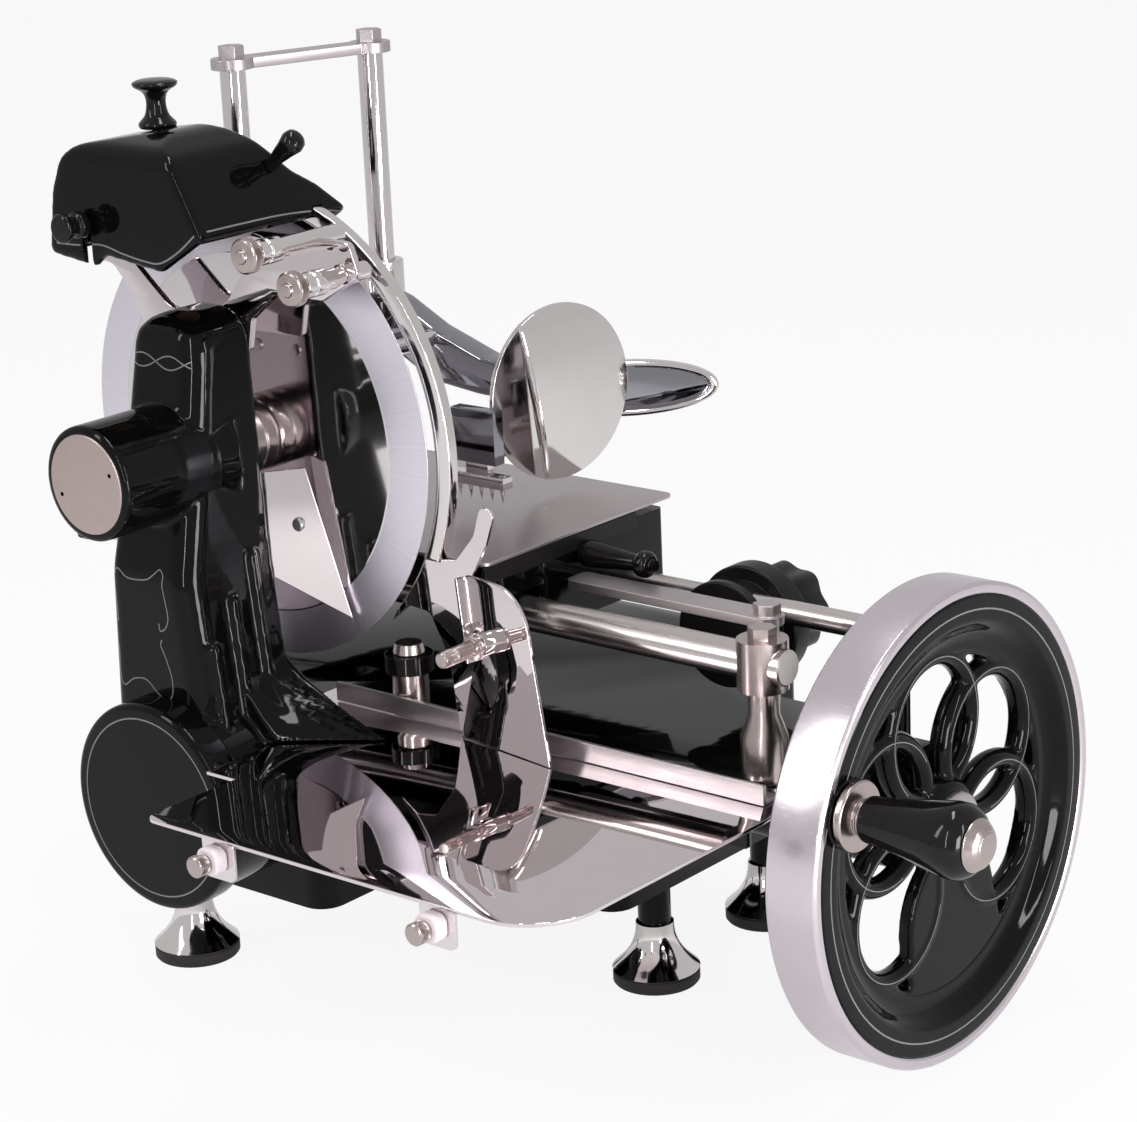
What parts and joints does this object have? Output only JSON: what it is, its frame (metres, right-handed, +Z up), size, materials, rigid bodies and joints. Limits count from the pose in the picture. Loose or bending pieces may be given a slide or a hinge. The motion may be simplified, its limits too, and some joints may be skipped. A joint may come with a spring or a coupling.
{
  "type": "flywheel meat slicer",
  "caption": "Hand-cranked flywheel slicer: round blade in a guard, chain case, wheel with petal spokes, sliding meat table with a spiked press, slice tray and sharpener hood.",
  "frame": {"origin": "middle of the bounding box's underside, on the floor plane under the rubber foot rings", "axes": "+X along the flywheel's shaft, out of the wheel's face; +Y along the blade's shaft, from the chain case towards the meat table; +Z up"},
  "size_m": [0.6704, 0.4316, 0.5193],
  "materials": {
    "black_enamel": "high gloss black stoving enamel",
    "polished_steel": "mirror polished stainless steel",
    "brushed_steel": "satin steel or aluminium",
    "blade_steel": "ground and polished blade steel",
    "black_plastic": "glossy black plastic",
    "nylon": "white nylon",
    "grindstone": "fine pinkish brown grinding stone",
    "hidden_steel": "turned steel"
  },
  "bodies": {
    "frame": {"base_casting": "black_enamel", "foot_1": "polished_steel", "foot_2": "polished_steel", "foot_3": "polished_steel", "foot_4": "polished_steel", "chain_case": "black_enamel", "case_back_plate": "hidden_steel", "hub_disc": "brushed_steel", "chain_cover": "black_enamel", "drive_chain": "hidden_steel", "guard_ring": "polished_steel", "guard_foot": "polished_steel", "slice_plate": "polished_steel", "deflector": "polished_steel", "tray": "polished_steel", "tray_rail": "brushed_steel", "clip_block_1": "nylon", "clip_block_2": "nylon", "roller_stud": "brushed_steel", "front_rod": "polished_steel", "rear_rod": "polished_steel", "front_post": "brushed_steel", "dial_housing": "black_plastic", "link_bar": "brushed_steel", "sharpener_bracket": "brushed_steel", "sharpener_hood": "black_enamel", "low_stud": "polished_steel", "high_stud": "polished_steel"},
    "wheel": {"flywheel": "black_enamel", "wheel_shaft": "hidden_steel", "crank_pin": "polished_steel"},
    "grip": {"crank_grip": "black_plastic"},
    "cross": {"cross_shaft": "hidden_steel", "lower_sprocket": "hidden_steel"},
    "blade_set": {"blade": "blade_steel", "blade_hub": "brushed_steel", "blade_shaft": "hidden_steel"},
    "roller": {"roller": "black_plastic"},
    "carriage": {"carriage_saddle": "black_enamel"},
    "feed_lever": {"feed_handle": "black_plastic"},
    "table": {"meat_table": "brushed_steel", "table_strip": "black_plastic", "press_rod_far": "polished_steel", "press_rod_near": "polished_steel", "press_bar": "brushed_steel"},
    "press": {"press_arm": "polished_steel", "press_disc": "polished_steel", "press_wing": "polished_steel", "press_tongue": "black_plastic", "spike_bar": "polished_steel"},
    "press_screw": {"press_knob": "black_plastic"},
    "thickness": {"thickness_knob": "black_plastic"},
    "pin": {"deflector_pin": "polished_steel"},
    "clip_screw_left": {"clip_screw_1": "brushed_steel"},
    "clip_screw_right": {"clip_screw_2": "brushed_steel"},
    "bobbin": {"bobbin_knob": "black_plastic"},
    "stone_near": {"near_stone": "grindstone"},
    "stone_far": {"far_stone": "grindstone"},
    "mushroom": {"mushroom_knob": "black_plastic"},
    "cone": {"cone_knob": "black_plastic"}
  },
  "joints": [
    {"name": "wheel_spin", "type": "hinge", "parent": "frame", "child": "wheel", "pos_m": [0.2559, 0.0827, 0.137], "axis": [1, 0, 0], "continuous": true},
    {"name": "grip_spin", "type": "hinge", "parent": "wheel", "child": "grip", "pos_m": [0.2559, -0.01465, 0.17633], "axis": [1, 0, 0], "continuous": true},
    {"name": "cross_spin", "type": "hinge", "parent": "frame", "child": "cross", "pos_m": [-0.1178, -0.0242, 0.137], "axis": [0, 1, 0], "continuous": true},
    {"name": "blade_spin", "type": "hinge", "parent": "frame", "child": "blade_set", "pos_m": [-0.1258, -0.0242, 0.32], "axis": [0, 1, 0], "continuous": true},
    {"name": "roller_spin", "type": "hinge", "parent": "frame", "child": "roller", "pos_m": [-0.0408, -0.0052, 0.198], "axis": [0, 0, 1], "continuous": true},
    {"name": "carriage_slide", "type": "slide", "parent": "frame", "child": "carriage", "axis": [1, 0, 0], "range_m": [-0.109, 0.012]},
    {"name": "feed_lever_turn", "type": "hinge", "parent": "carriage", "child": "feed_lever", "pos_m": [0.0212, 0.0698, 0.2507], "axis": [1, 0, 0], "range_deg": [-30, 30]},
    {"name": "table_slide", "type": "slide", "parent": "carriage", "child": "table", "axis": [0, 1, 0], "range_m": [0, 0.09]},
    {"name": "press_slide", "type": "slide", "parent": "table", "child": "press", "axis": [0, 0, 1], "range_m": [-0.006, 0.11]},
    {"name": "press_screw_turn", "type": "hinge", "parent": "press", "child": "press_screw", "pos_m": [-0.1258, 0.0758, 0.38], "axis": [0, 0, 1], "range_deg": [-180, 180]},
    {"name": "thickness_turn", "type": "hinge", "parent": "frame", "child": "thickness", "pos_m": [0.1082, 0.1158, 0.215], "axis": [0, 1, 0], "range_deg": [0, 300]},
    {"name": "pin_slide", "type": "slide", "parent": "frame", "child": "pin", "axis": [0, -1, 0], "range_m": [0, 0.035]},
    {"name": "clip_screw_left_turn", "type": "hinge", "parent": "frame", "child": "clip_screw_left", "pos_m": [0.0022, -0.1962, 0.158], "axis": [0, 1, 0], "range_deg": [-180, 180]},
    {"name": "clip_screw_right_turn", "type": "hinge", "parent": "frame", "child": "clip_screw_right", "pos_m": [0.1482, -0.1962, 0.158], "axis": [0, 1, 0], "range_deg": [-180, 180]},
    {"name": "bobbin_slide", "type": "slide", "parent": "frame", "child": "bobbin", "axis": [0, 1, 0], "range_m": [-0.02, 0]},
    {"name": "stone_near_spin", "type": "hinge", "parent": "bobbin", "child": "stone_near", "pos_m": [-0.1608, -0.0422, 0.446], "axis": [0, 1, 0], "continuous": true},
    {"name": "stone_far_spin", "type": "hinge", "parent": "frame", "child": "stone_far", "pos_m": [-0.2098, -0.0152, 0.421], "axis": [0, 1, 0], "continuous": true},
    {"name": "mushroom_turn", "type": "hinge", "parent": "frame", "child": "mushroom", "pos_m": [-0.1538, -0.0542, 0.48], "axis": [0, 0, 1], "range_deg": [-180, 180]},
    {"name": "cone_turn", "type": "hinge", "parent": "frame", "child": "cone", "pos_m": [-0.0878, -0.0382, 0.472], "axis": [0.7986, 0, 0.6018], "range_deg": [-180, 180]}
  ],
  "couplings": [
    {"joint": "cross_spin", "follows": "wheel_spin", "ratio": 2},
    {"joint": "blade_spin", "follows": "wheel_spin", "ratio": 4.6667}
  ]
}
